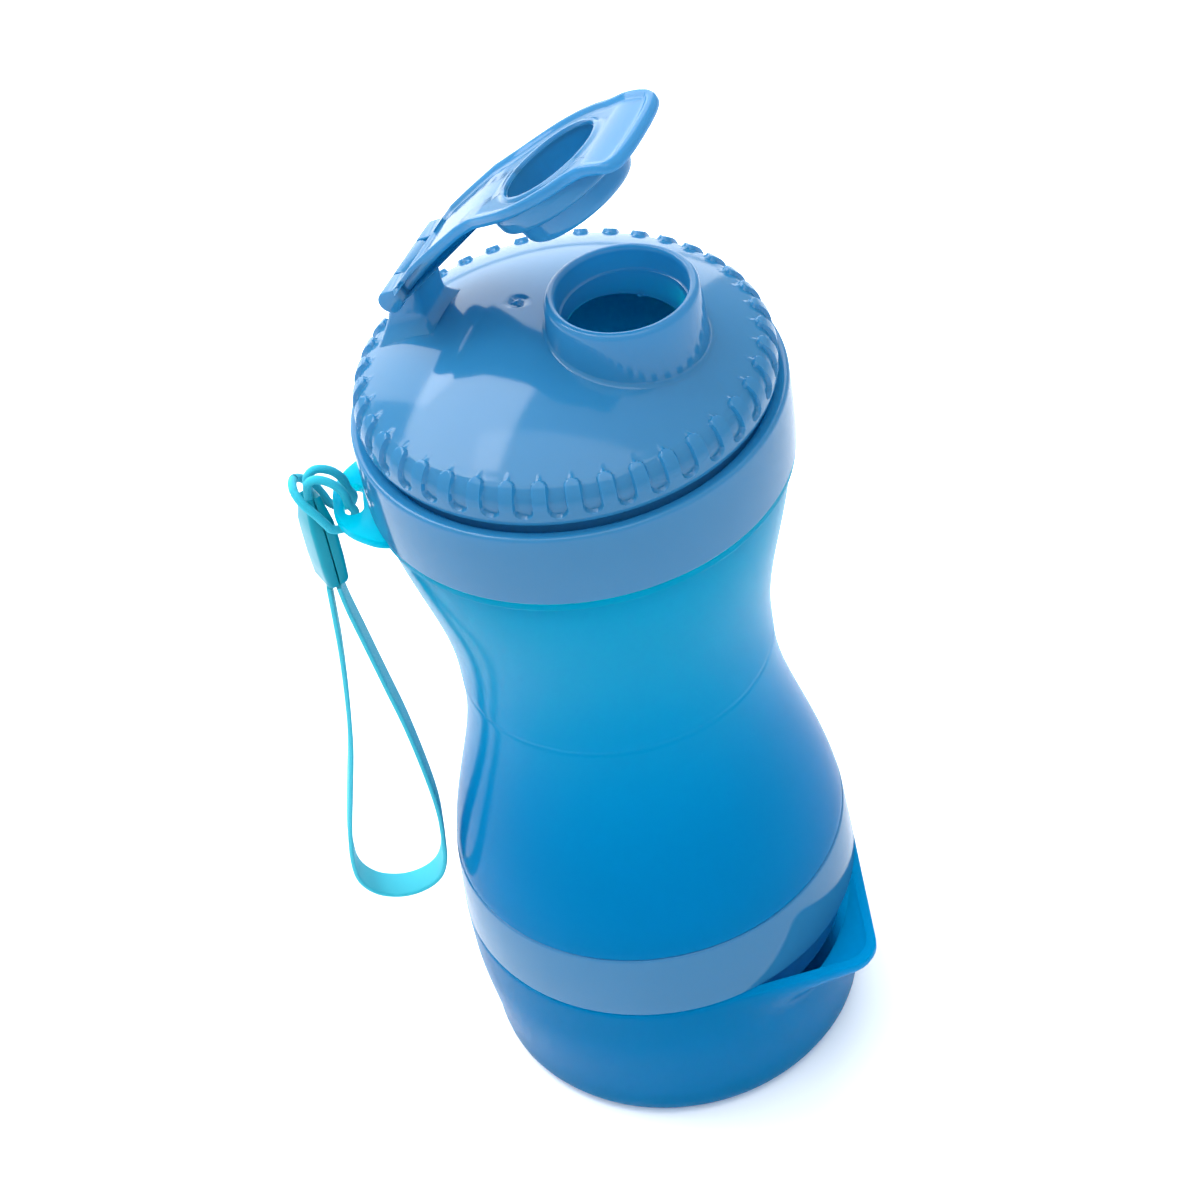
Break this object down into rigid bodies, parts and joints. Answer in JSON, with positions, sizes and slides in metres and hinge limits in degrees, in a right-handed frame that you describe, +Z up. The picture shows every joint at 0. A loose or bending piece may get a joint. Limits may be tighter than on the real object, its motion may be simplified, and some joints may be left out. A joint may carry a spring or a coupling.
{
  "type": "two-in-one travel bottle",
  "caption": "Hourglass drinking vessel with a screwed lid, offset spout and hinged flip cap, standing on a screw-on bowl with a pouring lip, with a wrist strap",
  "frame": {"origin": "centre of the bowl's base, on the surface that the bottle stands on", "axes": "+Z up along the bottle's axis, +X from the cap's hinge towards the spout in the lid's plane of symmetry, +Y to the left of the spout"},
  "size_m": [0.1035, 0.0802, 0.2156],
  "materials": {
    "clear_blue_shell": "translucent blue moulded plastic, gloss",
    "light_blue_cap": "opaque light blue moulded plastic, gloss",
    "seal": "soft translucent silicone seal",
    "pin_steel": "plain steel pin",
    "strap_cord": "braided polyester cord",
    "crimp": "moulded nylon clamp",
    "strap_web": "woven polyester ribbon"
  },
  "bodies": {
    "base_bowl": {"bowl": "clear_blue_shell"},
    "bowl_seal": {"bowl_gasket": "seal"},
    "band": {"divider_band": "light_blue_cap"},
    "vessel_seal": {"vessel_gasket": "seal"},
    "flask": {"vessel": "clear_blue_shell", "collar_ring": "light_blue_cap"},
    "lid_seal": {"lid_gasket": "seal"},
    "lid": {"lid": "light_blue_cap", "hinge_pin": "pin_steel"},
    "cap": {"flip_cap": "light_blue_cap"},
    "strap": {"strap_cord": "strap_cord", "crimp_shell_outer": "crimp", "crimp_shell_inner": "crimp", "strap_ribbon": "strap_web"}
  },
  "joints": [
    {"name": "band_lift", "type": "slide", "parent": "base_bowl", "child": "bowl_seal", "axis": [0, 0, 1], "range_m": [0, 0.00601]},
    {"name": "band_turn", "type": "hinge", "parent": "bowl_seal", "child": "band", "pos_m": [0, 0, 0.0358], "axis": [0, 0, 1], "range_deg": [0, 540]},
    {"name": "vessel_lift", "type": "slide", "parent": "band", "child": "vessel_seal", "axis": [0, 0, 1], "range_m": [0, 0.00601]},
    {"name": "vessel_turn", "type": "hinge", "parent": "vessel_seal", "child": "flask", "pos_m": [0, 0, 0.0512], "axis": [0, 0, 1], "range_deg": [0, 540]},
    {"name": "lid_lift", "type": "slide", "parent": "flask", "child": "lid_seal", "axis": [0, 0, 1], "range_m": [0, 0.01126]},
    {"name": "lid_turn", "type": "hinge", "parent": "lid_seal", "child": "lid", "pos_m": [0, 0, 0.1617], "axis": [0, 0, 1], "range_deg": [0, 810]},
    {"name": "cap_hinge", "type": "hinge", "parent": "lid", "child": "cap", "pos_m": [-0.0245, 0, 0.1826], "axis": [0, -1, 0], "range_deg": [-32, 88]},
    {"name": "strap_swing", "type": "hinge", "parent": "flask", "child": "strap", "pos_m": [-0.03814, -0.02071, 0.1436], "axis": [-0.4772, 0.8788, 0], "range_deg": [0, 38]}
  ],
  "couplings": [
    {"joint": "band_lift", "follows": "band_turn", "m_per_rad": 0.00063662},
    {"joint": "vessel_lift", "follows": "vessel_turn", "m_per_rad": 0.00063662},
    {"joint": "lid_lift", "follows": "lid_turn", "m_per_rad": 0.00079577}
  ]
}
